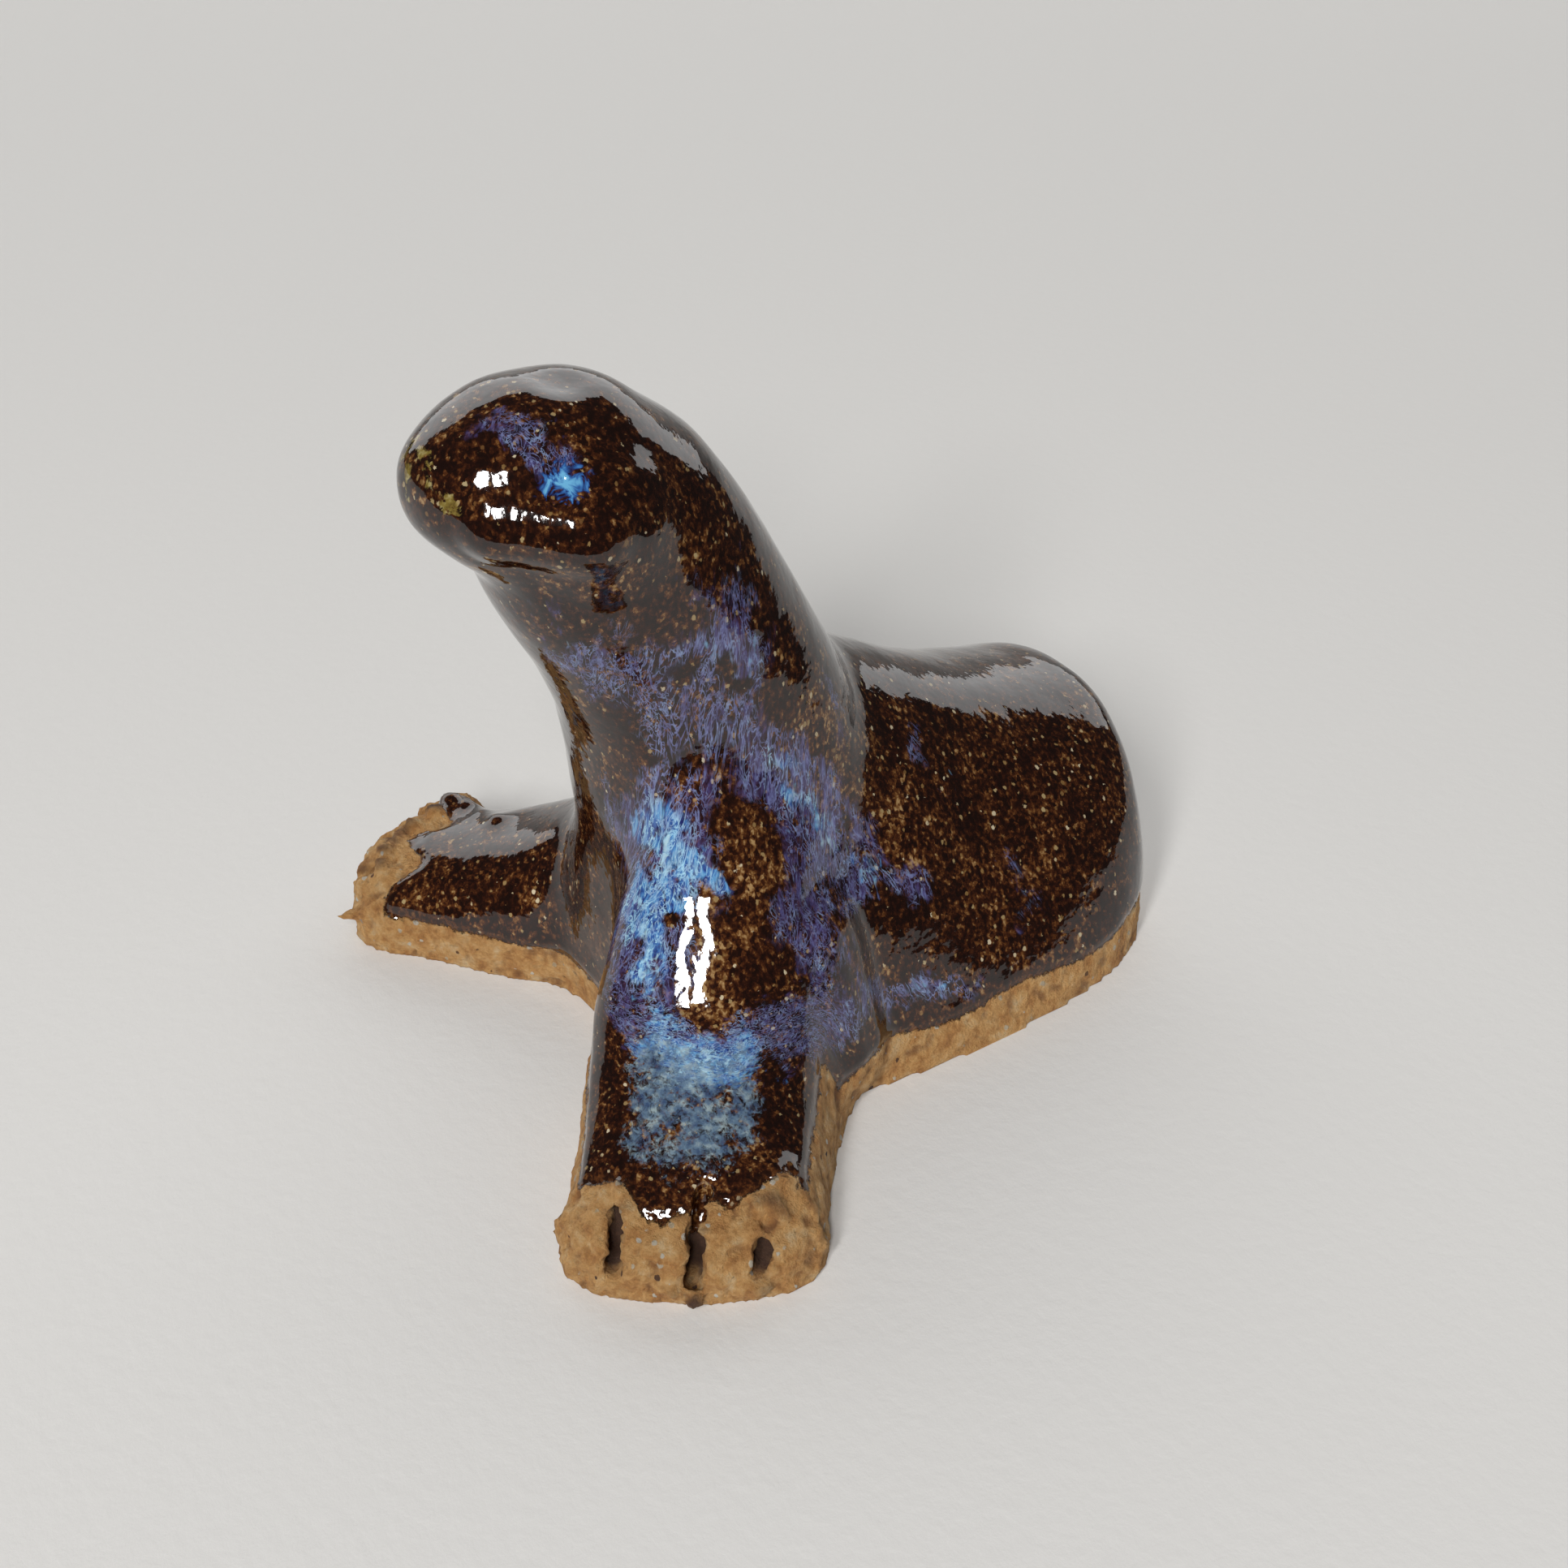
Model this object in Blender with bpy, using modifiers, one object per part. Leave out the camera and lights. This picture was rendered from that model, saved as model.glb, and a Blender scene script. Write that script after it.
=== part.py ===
"""Seal figurine, hand-modelled from one lump of stoneware, about 65 mm long.

The seal faces -Y, its left side is +X, and it sits on the plane z = 0.
The forms are lofted, run together like soft clay and cut flat underneath.
Toe slits, eye pits and the torn crumbs of the far toes come last, as on the real piece.
"""

import math

import bmesh
import bpy
from mathutils import Matrix, Vector

MM = 0.001

# Low body, from the chest to the round rump.
BODY_LENGTH = 48.2 * MM
BODY_WIDTH = 38.0 * MM
BACK_HEIGHT = 21.6 * MM
RUMP_Y = 15.0 * MM
BODY_SQUARENESS = 2.4

# Raised neck and head: one thumb-like roll, bent forward.
NECK_THICKNESS = 21.0 * MM
NECK_REACH = 30.5 * MM
NECK_ROOT_Y = -15.8 * MM
SNOUT_HEIGHT = 53.0 * MM
NECK_SQUARENESS = 2.1

# Front flippers: sloping wedges that end in stubby toes. The near one is the seal's left.
NEAR_FLIPPER_LENGTH = 35.3 * MM
NEAR_FLIPPER_WIDTH = 18.6 * MM
NEAR_FLIPPER_ANGLE = math.radians(51.2)
NEAR_SHOULDER_HEIGHT = 34.0 * MM
NEAR_TOE_HEIGHT = 6.5 * MM
FAR_FLIPPER_LENGTH = 33.0 * MM
FAR_FLIPPER_WIDTH = 15.5 * MM
FAR_FLIPPER_ANGLE = math.radians(-54.0)
FAR_SHOULDER_HEIGHT = 18.5 * MM
FAR_TOE_HEIGHT = 7.2 * MM
FLIPPER_SQUARENESS = 2.7
# The near flipper is drawn out toward the flank at its root: share of its width there.
NEAR_WEB = 0.8
# Where each flipper starts inside the chest: to the seal's left, and forward of the neck's root.
NEAR_ROOT_LEFT = 2.0 * MM
NEAR_ROOT_FORWARD = 6.8 * MM
FAR_ROOT_LEFT = -2.4 * MM
FAR_ROOT_FORWARD = 4.5 * MM

# Tool marks.
SLIT_WIDTH = 1.1 * MM
SLIT_DEPTH = 1.3 * MM
SLIT_REACH = 4.0 * MM
EYE_WIDTH = 3.6 * MM
EYE_DEPTH = 0.7 * MM
EYE_RISE = 2.2 * MM

# Crumbs of torn clay left standing on the far toes.
CRUMB_WIDTH = 3.4 * MM

# Clay working: how closely the joined forms are followed, and how far thumbs round them.
CLAY_GRAIN = 0.8 * MM
ROUNDING = 34
KEPT_FACES = 0.145

RING_POINTS = 28
UP = Vector((0, 0, 1))
SIDE = Vector((1, 0, 0))
NEAR_ROOT = Vector((NEAR_ROOT_LEFT, NECK_ROOT_Y - NEAR_ROOT_FORWARD, 0))
FAR_ROOT = Vector((FAR_ROOT_LEFT, NECK_ROOT_Y - FAR_ROOT_FORWARD, 0))


def oval(centre, across, up, half_width, half_height, power):
    """One ring in the plane of two directions: round at power 2, squarer above it."""
    points = []
    for i in range(RING_POINTS):
        angle = 2 * math.pi * i / RING_POINTS
        c = math.cos(angle)
        s = math.sin(angle)
        side = math.copysign(abs(c) ** (2 / power), c) * half_width
        rise = math.copysign(abs(s) ** (2 / power), s) * half_height
        points.append(centre + across * side + up * rise)
    return points


def mound(centre, across, sides, top, power):
    """One upright ring that stands on the ground and runs on below it.

    Each side has its own half width, and its own share of a tent's slope instead of a wall.
    """
    points = []
    for i in range(RING_POINTS):
        angle = 2 * math.pi * i / RING_POINTS
        c = math.cos(angle)
        s = math.sin(angle)
        half_width, tent = sides[0] if c < 0 else sides[1]
        bend_out = 2 / power + (1 - 2 / power) * tent
        bend_up = 2 / power + (2 - 2 / power) * tent
        side = math.copysign(abs(c) ** bend_out, c) * half_width
        rise = abs(s) ** bend_up * top if s > 0 else s * top / 2
        points.append(centre + across * side + UP * rise)
    return points


def loft(mesh, rings):
    """A closed skin over rings of equal count, capped at both ends."""
    rows = [[mesh.verts.new(point) for point in ring] for ring in rings]
    for first, second in zip(rows, rows[1:]):
        for i in range(RING_POINTS):
            j = (i + 1) % RING_POINTS
            mesh.faces.new((first[i], first[j], second[j], second[i]))
    mesh.faces.new(list(reversed(rows[0])))
    mesh.faces.new(rows[-1])


def torso(mesh):
    """Rings from the chest back to the rump, running on below the ground to be cut off."""
    stations = (
        # part of length, part of width, part of back height
        (0.00, 0.44, 1.00),
        (0.06, 0.68, 1.28),
        (0.16, 0.88, 1.45),
        (0.30, 0.99, 1.54),
        (0.45, 1.03, 1.42),
        (0.60, 1.03, 1.23),
        (0.73, 1.00, 1.09),
        (0.84, 0.93, 1.01),
        (0.915, 0.83, 0.965),
        (0.965, 0.71, 0.95),
        (0.99, 0.57, 0.89),
        (1.00, 0.36, 0.74),
    )
    rings = []
    for along, wide, high in stations:
        y = RUMP_Y - BODY_LENGTH * (1 - along)
        tent = 1 - min(max((along - 0.6) / 0.35, 0), 1)
        half_width = BODY_WIDTH / 2 * wide
        sides = ((half_width, tent), (half_width, tent))
        rings.append(mound(Vector((0, y, 0)), SIDE, sides, BACK_HEIGHT * high, BODY_SQUARENESS))
    loft(mesh, rings)


def neck_and_head(mesh):
    """Rings square to a spine that rises from the chest and bends forward into the head."""
    stations = (
        # part of reach, part of snout height, parts of neck thickness: deep, wide
        (0.00, 0.10, 1.20, 1.24),
        (0.12, 0.30, 1.25, 1.22),
        (0.225, 0.47, 1.11, 1.12),
        (0.30, 0.62, 0.98, 1.03),
        (0.415, 0.76, 0.935, 0.97),
        (0.55, 0.885, 0.92, 0.91),
        (0.67, 0.955, 0.83, 0.84),
        (0.78, 0.973, 0.68, 0.75),
        (0.88, 0.977, 0.54, 0.62),
        (0.955, 0.982, 0.39, 0.45),
        (1.01, 0.980, 0.22, 0.26),
    )
    spine = []
    for forward, rise, _, _ in stations:
        spine.append(Vector((0, NECK_ROOT_Y - NECK_REACH * forward, SNOUT_HEIGHT * rise)))
    rings = []
    for i, (_, _, deep, wide) in enumerate(stations):
        before = spine[max(i - 1, 0)]
        after = spine[min(i + 1, len(spine) - 1)]
        way = (after - before).normalized()
        half_width = NECK_THICKNESS / 2 * wide
        half_depth = NECK_THICKNESS / 2 * deep
        up = SIDE.cross(way)
        rings.append(oval(spine[i], SIDE, up, half_width, half_depth, NECK_SQUARENESS))
    loft(mesh, rings)


def flipper_frame(angle):
    """Directions along and across a flipper that leaves the chest at this angle from -Y."""
    way = Vector((math.sin(angle), -math.cos(angle), 0))
    across = Vector((math.cos(angle), math.sin(angle), 0))
    return way, across


def flipper(mesh, root, angle, length, width, shoulder, toe, web):
    """Upright rings from the chest down to the toes, drawn out to one side by the web."""
    stations = (
        # part of length, part of width, height from toe (0) to shoulder (1), shift to the front
        (0.00, 0.70, 0.98, 0.00),
        (0.17, 0.80, 0.90, 0.00),
        (0.27, 0.88, 0.78, 0.00),
        (0.34, 0.95, 0.67, 0.00),
        (0.40, 1.01, 0.55, 0.00),
        (0.47, 1.07, 0.41, 0.00),
        (0.56, 1.08, 0.27, 0.00),
        (0.67, 1.06, 0.16, 0.00),
        (0.78, 1.07, 0.08, 0.00),
        (0.86, 1.12, 0.03, 0.01),
        (0.92, 1.05, -0.015, 0.02),
        (0.965, 0.86, -0.055, 0.05),
        (0.99, 0.60, -0.09, 0.07),
        (1.00, 0.34, -0.12, 0.08),
    )
    way, across = flipper_frame(angle)
    rings = []
    front = -across if angle > 0 else across
    for along, wide, high, shift in stations:
        top = toe + (shoulder - toe) * high
        centre = root + way * length * along + front * width * shift
        half_width = width / 2 * wide
        drawn = web * max(1 - along / 0.5, 0)
        tent = 0.7 * web * min(max((0.85 - along) / 0.35, 0), 1)
        sides = ((half_width, 0), (half_width * (1 + drawn), tent))
        rings.append(mound(centre, across, sides, top, FLIPPER_SQUARENESS))
    loft(mesh, rings)


def soft_forms(mesh):
    torso(mesh)
    neck_and_head(mesh)
    flipper(mesh, NEAR_ROOT, NEAR_FLIPPER_ANGLE, NEAR_FLIPPER_LENGTH, NEAR_FLIPPER_WIDTH,
            NEAR_SHOULDER_HEIGHT, NEAR_TOE_HEIGHT, NEAR_WEB)
    flipper(mesh, FAR_ROOT, FAR_FLIPPER_ANGLE, FAR_FLIPPER_LENGTH, FAR_FLIPPER_WIDTH,
            FAR_SHOULDER_HEIGHT, FAR_TOE_HEIGHT, 0)


def ground_block(mesh):
    """Everything under the table plane, to be cut away."""
    reach = 3 * BODY_LENGTH
    depth = 2 * BACK_HEIGHT
    place = Matrix.Translation((0, 0, -depth / 2)) @ Matrix.Diagonal((reach, reach, depth, 1))
    bmesh.ops.create_cube(mesh, size=1, matrix=place)


def slit_blade(mesh, tip, angle, toe, offset, low):
    """A thin blade pressed down over the front of the toes, ending at the height low."""
    way, across = flipper_frame(angle)
    outline = (
        # distance in front of the toe tip, height
        (-SLIT_REACH - SLIT_DEPTH, toe + SLIT_DEPTH),
        (-SLIT_REACH, toe - 0.4 * SLIT_DEPTH),
        (-1.7 * SLIT_DEPTH, 0.5 * toe),
        (-SLIT_DEPTH, low),
        (2 * SLIT_DEPTH, low),
        (2 * SLIT_DEPTH, toe + SLIT_DEPTH),
    )
    sides = []
    for half in (-SLIT_WIDTH / 2, SLIT_WIDTH / 2):
        corners = []
        for forward, rise in outline:
            corners.append(mesh.verts.new(tip + way * forward + across * (offset + half) + UP * rise))
        sides.append(corners)
    mesh.faces.new(list(reversed(sides[0])))
    mesh.faces.new(sides[1])
    for i in range(len(outline)):
        j = (i + 1) % len(outline)
        mesh.faces.new((sides[0][i], sides[0][j], sides[1][j], sides[1][i]))


def near_slits(mesh):
    way, _ = flipper_frame(NEAR_FLIPPER_ANGLE)
    tip = NEAR_ROOT + way * NEAR_FLIPPER_LENGTH
    for part, low in ((-0.28, 0.30), (0.03, 0.12), (0.29, 0.40)):
        offset = part * NEAR_FLIPPER_WIDTH
        slit_blade(mesh, tip, NEAR_FLIPPER_ANGLE, NEAR_TOE_HEIGHT, offset, low * NEAR_TOE_HEIGHT)


def far_slits(mesh):
    way, _ = flipper_frame(FAR_FLIPPER_ANGLE)
    tip = FAR_ROOT + way * FAR_FLIPPER_LENGTH
    for part in (-0.27, 0.02, 0.28):
        offset = part * FAR_FLIPPER_WIDTH
        slit_blade(mesh, tip, FAR_FLIPPER_ANGLE, FAR_TOE_HEIGHT, offset, 0.3 * FAR_TOE_HEIGHT)


def eye_pits(mesh):
    """A ball pressed into each side of the head."""
    radius = (EYE_WIDTH**2 / 4 + EYE_DEPTH**2) / (2 * EYE_DEPTH)
    y = NECK_ROOT_Y - 0.78 * NECK_REACH
    z = SNOUT_HEIGHT * 0.98 + EYE_RISE
    cheek = 0.345 * NECK_THICKNESS
    for side in (-1, 1):
        x = side * (cheek + radius - EYE_DEPTH)
        place = Matrix.Translation((x, y, z))
        bmesh.ops.create_uvsphere(mesh, u_segments=24, v_segments=16, radius=radius, matrix=place)


def far_crumbs(mesh):
    """Three torn lumps on the toes and one thin point at the front corner."""
    way, across = flipper_frame(FAR_FLIPPER_ANGLE)
    tip = FAR_ROOT + way * FAR_FLIPPER_LENGTH
    lumps = (
        # part of length behind the tip, part of width to the front, part of toe height, size
        (0.06, 0.14, 0.72, 1.10),
        (0.11, -0.34, 0.74, 1.15),
        (0.20, -0.36, 0.86, 1.00),
    )
    for back, front, rise, size in lumps:
        centre = tip - way * FAR_FLIPPER_LENGTH * back + across * FAR_FLIPPER_WIDTH * front
        centre += UP * FAR_TOE_HEIGHT * rise
        wide = CRUMB_WIDTH * size
        place = Matrix.Translation(centre) @ Matrix.Diagonal((wide, wide, wide * 0.62, 1))
        bmesh.ops.create_icosphere(mesh, subdivisions=2, radius=0.5, matrix=place)
    start = tip - way * FAR_FLIPPER_LENGTH * 0.12 + across * FAR_FLIPPER_WIDTH * 0.38
    start += UP * FAR_TOE_HEIGHT * 0.36
    point = (way + across * 0.6).normalized()
    turn = point.to_track_quat("Z", "Y").to_matrix().to_4x4()
    place = Matrix.Translation(start + point * CRUMB_WIDTH * 0.55) @ turn
    bmesh.ops.create_cone(mesh, cap_ends=True, segments=10, radius1=CRUMB_WIDTH * 0.42,
                          radius2=CRUMB_WIDTH * 0.08, depth=CRUMB_WIDTH * 1.5, matrix=place)


def mesh_object(name, collection, build):
    shape = bmesh.new()
    build(shape)
    bmesh.ops.recalc_face_normals(shape, faces=shape.faces)
    data = bpy.data.meshes.new(name)
    shape.to_mesh(data)
    shape.free()
    obj = bpy.data.objects.new(name, data)
    collection.objects.link(obj)
    return obj


def combine(target, name, operation, build):
    """Cuts a helper shape out of the target, or joins it on."""
    helper = mesh_object(name, cutters, build)
    helper.hide_render = True
    helper.display_type = "WIRE"
    step = target.modifiers.new(name, "BOOLEAN")
    step.operation = operation
    step.solver = "EXACT"
    step.use_self = True
    step.object = helper


for old in list(bpy.data.objects):
    bpy.data.objects.remove(old, do_unlink=True)

figurine = bpy.data.collections.new("seal_figurine")
cutters = bpy.data.collections.new("seal_figurine_cutters")
bpy.context.scene.collection.children.link(figurine)
bpy.context.scene.collection.children.link(cutters)

seal = mesh_object("seal", figurine, soft_forms)
clay = seal.modifiers.new("Run together", "REMESH")
clay.mode = "VOXEL"
clay.voxel_size = CLAY_GRAIN
thumb = seal.modifiers.new("Thumbed smooth", "SMOOTH")
thumb.iterations = round(ROUNDING)
fewer = seal.modifiers.new("Fewer faces", "DECIMATE")
fewer.ratio = KEPT_FACES
combine(seal, "far_crumbs", "UNION", far_crumbs)
combine(seal, "ground", "DIFFERENCE", ground_block)
combine(seal, "near_slits", "DIFFERENCE", near_slits)
combine(seal, "far_slits", "DIFFERENCE", far_slits)
combine(seal, "eye_pits", "DIFFERENCE", eye_pits)

glaze = bpy.data.materials.new("brown_and_blue_glaze")
glaze.use_nodes = True
shader = glaze.node_tree.nodes["Principled BSDF"]
shader.inputs["Base Color"].default_value = (0.035, 0.018, 0.012, 1)
shader.inputs["Roughness"].default_value = 0.08
seal.data.materials.append(glaze)
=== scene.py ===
import math

import bmesh
import bpy
import numpy as np
from mathutils import Matrix, Vector, kdtree, noise


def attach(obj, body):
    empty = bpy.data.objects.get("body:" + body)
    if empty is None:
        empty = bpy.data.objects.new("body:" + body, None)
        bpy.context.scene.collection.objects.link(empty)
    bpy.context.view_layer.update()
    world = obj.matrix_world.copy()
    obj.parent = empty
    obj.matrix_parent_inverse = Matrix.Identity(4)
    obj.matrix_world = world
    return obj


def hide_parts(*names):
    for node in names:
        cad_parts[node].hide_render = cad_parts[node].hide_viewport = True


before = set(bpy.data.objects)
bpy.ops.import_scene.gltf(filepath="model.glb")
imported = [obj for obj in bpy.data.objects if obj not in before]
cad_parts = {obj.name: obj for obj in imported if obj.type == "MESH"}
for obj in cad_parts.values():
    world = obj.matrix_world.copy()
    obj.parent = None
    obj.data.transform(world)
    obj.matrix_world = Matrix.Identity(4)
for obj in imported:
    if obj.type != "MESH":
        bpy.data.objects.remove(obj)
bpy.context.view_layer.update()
scene = bpy.context.scene
scene.view_settings.view_transform = "Standard"

# ---- Viewpoint
# The seal is seen from its left front and from above, close up, so that the near foot
# looks large and the rump falls away.
CAMERA_PLACE = Vector((0.1278, -0.1052, 0.1191))
LOOK_AT = Vector((-0.0225, 0, 0))
camera_data = bpy.data.cameras.new("close_view")
camera_data.sensor_width = 36
camera_data.lens = 52.17
camera_data.clip_start = 0.01
camera = bpy.data.objects.new("close_view", camera_data)
camera.location = CAMERA_PLACE
look = LOOK_AT - CAMERA_PLACE
camera.rotation_euler = look.to_track_quat("-Z", "Y").to_euler()
scene.collection.objects.link(camera)
scene.camera = camera

# ---- Clay body
# The whole seal is one lump of coarse stoneware, pinched and thumbed into shape and set down
# on a flat board. Its toes are slit with a blade, which tears the damp clay and leaves burrs.
MM = 0.001
# Cell size of the fine clay mesh, and the height that stays smooth on the board, in mm.
FINE = 0.37
GROUND_SKIN = 0.05

# Near foot and far foot: where they leave the chest, and the way they point.
NEAR_ROOT = (2.0, -22.6)
NEAR_WAY = (0.779, -0.627)
FAR_ROOT = (-2.4, -20.3)
FAR_WAY = (-0.809, -0.588)


def step(low, high, value):
    """0 below low, 1 above high, eased between."""
    part = np.clip((value - low) / (high - low), 0, 1)
    return part * part * (3 - 2 * part)


def along_foot(places, root, way):
    """Distance along a foot and across it, in mm."""
    x = places[:, 0] - root[0]
    y = places[:, 1] - root[1]
    return x * way[0] + y * way[1], x * -way[1] + y * way[0]


def rough(places, size, seed, octaves=1):
    """Lumpy noise about 0, with lumps of this size in mm."""
    values = np.empty(len(places))
    shift = Vector((seed * 7.3, seed * 3.1, seed * 5.7))
    for i, place in enumerate(places / size):
        values[i] = noise.fractal(Vector(place) + shift, 0.8, 2.1, octaves)
    return values


def to_neighbours(places, links):
    """From each point to the middle of its neighbours."""
    total = np.zeros_like(places)
    for k in range(3):
        total[:, k] += np.bincount(links[:, 0], places[links[:, 1], k], len(places))
        total[:, k] += np.bincount(links[:, 1], places[links[:, 0], k], len(places))
    return total / np.bincount(links.ravel(), minlength=len(places))[:, None] - places


# Each pass draws the surface in, and every other one lets it out again, so the bulk stays.
DRAW_IN = 0.6
LET_OUT = -0.52


def relax(places, links, share, times):
    """Evens the surface out, where share says how far each point may follow its neighbours."""
    for turn in range(times):
        pull = DRAW_IN if turn % 2 == 0 else LET_OUT
        places = places + to_neighbours(places, links) * share[:, None] * pull
    return places


def face_ways(mesh, places):
    """The way the surface faces at each point, for these places in mm."""
    mesh.vertices.foreach_set("co", (places * MM).ravel())
    mesh.update()
    ways = np.empty(len(places) * 3)
    mesh.vertices.foreach_get("normal", ways)
    return ways.reshape(-1, 3)


RIDGE_HOLD = 0.97


def fill(mesh, places, links, share, times):
    """Fills creases from their bottom, as a thumb does, and leaves ridges alone."""
    for turn in range(times):
        if turn % 10 == 0:
            ways = face_ways(mesh, places)
        move = to_neighbours(places, links)
        outward = np.einsum("ij,ij->i", move, ways)
        move -= ways * np.minimum(outward, 0)[:, None] * RIDGE_HOLD
        places = places + move * share[:, None] * DRAW_IN
    return places


def ball(places, centre, radius):
    """1 at the centre, fading to 0 at the radius."""
    far = np.linalg.norm(places - np.array(centre), axis=1)
    return 1 - step(0, radius, far)


def foot_point(root, way, along, across, up):
    """The place in mm, from distances along a foot, across it and up."""
    return (root[0] + way[0] * along - way[1] * across, root[1] + way[1] * along + way[0] * across, up)


# Toe slits: where each crosses its foot, and how low it ends. They lean a little to one side.
NEAR_SLITS = ((-5.2, 1.6), (0.55, 0.5), (5.4, 2.2))
FAR_SLITS = ((-4.2, 2.2), (0.3, 2.2), (4.3, 2.2))
SLIT_HALF = 0.7
SLIT_LEAN = 0.12
LEAN_FROM = 4
# Side view of what the blade takes out: (distance along the foot, height) in mm.
NEAR_BLADE = ((29.9, 9.0), (30.0, 5.4), (31.4, 3.6), (31.8, 0.0), (39.0, 0.0), (39.0, 9.0))
NEAR_CUT_FROM = 29.6
FAR_BLADE = ((27.8, 10.0), (28.6, 6.0), (30.4, 4.4), (31.2, 0.0), (37.0, 0.0), (37.0, 10.0))
FAR_CUT_FROM = 26.8


def slit_lean(up):
    """How far a slit leans across its foot at this height, in mm."""
    return SLIT_LEAN * (up - LEAN_FROM)


blades = bmesh.new()
for root, way, blade, slits in ((NEAR_ROOT, NEAR_WAY, NEAR_BLADE, NEAR_SLITS),
                                (FAR_ROOT, FAR_WAY, FAR_BLADE, FAR_SLITS)):
    for across, low in slits:
        sides = []
        for half in (-SLIT_HALF, SLIT_HALF):
            side = []
            for along, up in blade:
                off = across + half + slit_lean(up)
                spot = foot_point(root, way, along, off, max(up, low))
                side.append(blades.verts.new(Vector(spot) * MM))
            sides.append(side)
        blades.faces.new(list(reversed(sides[0])))
        blades.faces.new(sides[1])
        for i in range(len(blade)):
            j = (i + 1) % len(blade)
            blades.faces.new((sides[0][i], sides[0][j], sides[1][j], sides[1][i]))
bmesh.ops.recalc_face_normals(blades, faces=blades.faces)
blade_mesh = bpy.data.meshes.new("slit_blades")
blades.to_mesh(blade_mesh)
blades.free()
blade_tool = bpy.data.objects.new("slit_blades", blade_mesh)
scene.collection.objects.link(blade_tool)

# Clay pushed up by the blade and torn from the edges: (place, radius) in mm.
BURRS = (
    ((22.5, -45.5, 6.5), 0.9), ((24, -46, 6), 0.8), ((24.5, -46.5, 5), 0.6),
    ((27.5, -41, 6), 0.7), ((28.5, -42.5, 5.5), 0.6), ((26, -42.5, 6), 0.7),
    ((29, -38.5, 6.5), 0.75), ((29.5, -37.5, 6.5), 0.7), ((30, -37.5, 6), 0.65),
    ((30.5, -37.5, 5.5), 0.6), ((30.5, -38.5, 4.5), 0.6), ((28.5, -36, 7), 0.9),
    ((28.5, -34.5, 6.5), 0.8), ((21.5, -46.5, 6), 0.7), ((30.5, -42.5, 2), 0.7),
    ((28.5, -45.5, 1.5), 0.9), ((30, -44.5, 1), 0.8), ((32, -40, 1.5), 0.8),
    ((-26.5, -34.5, 7.5), 1.2), ((-27.5, -32.5, 7.5), 1.35), ((-27, -31.5, 7.5), 1.2),
    ((-25.5, -32, 8), 0.9), ((-24, -32, 8), 0.8), ((-23, -32, 8.5), 0.8),
    ((-21.5, -32, 9), 0.8), ((-20, -32, 9.5), 0.95), ((-19.5, -32.5, 9), 0.7),
    ((-25, -40, 7), 1.25), ((-26, -38.5, 7), 0.9), ((-26.5, -37, 7.5), 0.8),
    ((-26, -42, 5), 1.0), ((-23.5, -41.5, 6.5), 0.8),
)

plain_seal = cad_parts["seal"]
lump = bmesh.new()
lump.from_mesh(plain_seal.data)
bmesh.ops.remove_doubles(lump, verts=lump.verts, dist=0.002 * MM)
lump_mesh = bpy.data.meshes.new("glazed_seal")
lump.to_mesh(lump_mesh)
lump.free()
seal = bpy.data.objects.new("glazed_seal", lump_mesh)
scene.collection.objects.link(seal)
cut = seal.modifiers.new("Toe slits", "BOOLEAN")
cut.operation = "DIFFERENCE"
cut.solver = "EXACT"
cut.object = blade_tool
graph = bpy.context.evaluated_depsgraph_get()
slit_mesh = bpy.data.meshes.new_from_object(seal.evaluated_get(graph))
seal.modifiers.clear()
bpy.data.objects.remove(blade_tool, do_unlink=True)
lump = bmesh.new()
lump.from_mesh(slit_mesh)
for (x, y, z), radius in BURRS:
    spot = Matrix.Translation(Vector((x, y, z)) * MM) @ Matrix.Diagonal((1, 1, 0.8, 1))
    bmesh.ops.create_icosphere(lump, subdivisions=2, radius=radius * MM, matrix=spot)
lump.to_mesh(lump_mesh)
lump.free()
fine = seal.modifiers.new("Fine clay", "REMESH")
fine.mode = "VOXEL"
fine.voxel_size = FINE * MM
graph = bpy.context.evaluated_depsgraph_get()
clay = bpy.data.meshes.new_from_object(seal.evaluated_get(graph))
seal.modifiers.clear()
seal.data = clay

count = len(clay.vertices)
places = np.empty(count * 3)
clay.vertices.foreach_get("co", places)
places = places.reshape(-1, 3) / MM
links = np.empty(len(clay.edges) * 2, int)
clay.edges.foreach_get("vertices", links)
links = links.reshape(-1, 2)

near_along, near_across = along_foot(places, NEAR_ROOT, NEAR_WAY)
far_along, far_across = along_foot(places, FAR_ROOT, FAR_WAY)

# Masks over the points, each 0 to 1: off the board, beside a slit, on the toes, down in a slit.
off_ground = step(0.02, 0.5, places[:, 2])
slit_zone = np.zeros(count)
for along, sideways, slits, start in ((near_along, near_across, NEAR_SLITS, NEAR_CUT_FROM),
                                      (far_along, far_across, FAR_SLITS, FAR_CUT_FROM)):
    for across, _ in slits:
        off_line = np.abs(sideways - across - slit_lean(places[:, 2]))
        ahead = step(start, start + 1, along)
        slit_zone = np.maximum(slit_zone, (1 - step(1.1, 1.8, off_line)) * ahead)
toes = np.maximum(step(28.0, 29.5, near_along), step(25.5, 27.0, far_along))
slit_depth = np.zeros(count)
for i in np.nonzero(slit_zone > 0)[0]:
    _, skin_place, _, _ = plain_seal.closest_point_on_mesh(Vector(places[i]) * MM)
    slit_depth[i] = np.linalg.norm(places[i] - np.array(skin_place) / MM)
# in_slit grows with depth in a slit: it thins the torn relief, and the material paints the slits dark by it
# as painted shade.
in_slit = step(0.15, 1.1, slit_depth) * slit_zone
free = off_ground * (1 - slit_zone) * (1 - toes)
places = relax(places, links, free, 160)

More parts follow.
